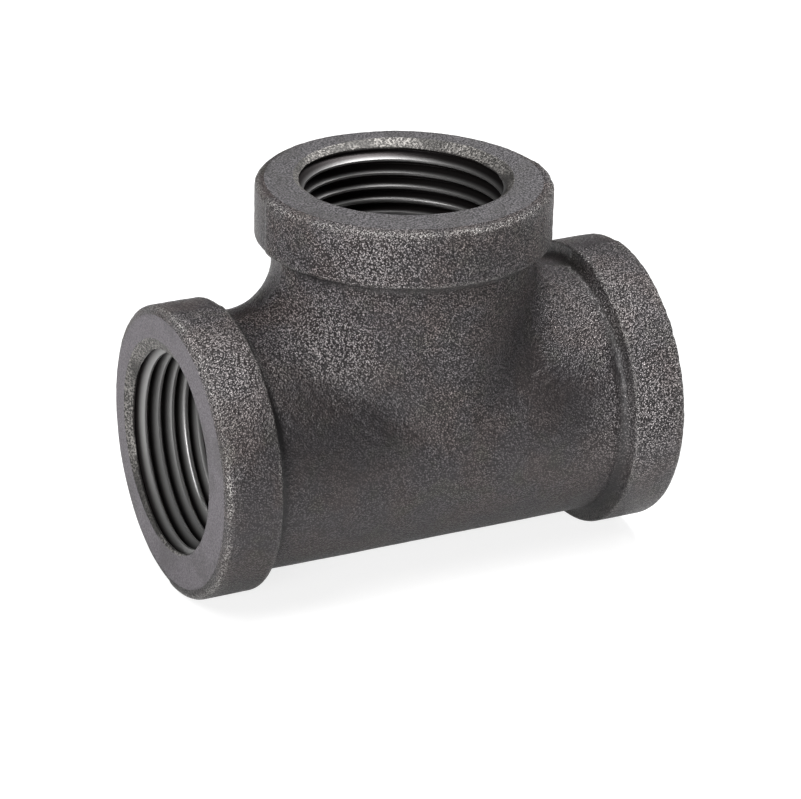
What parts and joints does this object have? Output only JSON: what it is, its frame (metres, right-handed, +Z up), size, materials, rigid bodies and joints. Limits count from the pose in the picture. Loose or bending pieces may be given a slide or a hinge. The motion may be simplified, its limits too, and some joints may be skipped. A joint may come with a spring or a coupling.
{
  "type": "threaded pipe tee",
  "caption": "Equal pipe tee: one hollow iron casting with a banded port at each end of the run and on the branch, each cut with an internal taper pipe thread.",
  "frame": {"origin": "on the ground under the crossing of the bores, midway between the two run faces; the part stands on its run bands", "axes": "+X along the run out of the right port, +Z up along the branch and out of its port, +Y to the back"},
  "size_m": [0.0762, 0.045, 0.0606],
  "materials": {
    "black_iron": "sand-cast black iron, dark grey, rough; port faces and threads machined"
  },
  "bodies": {
    "root": {"tee_casting": "black_iron"}
  },
  "joints": []
}
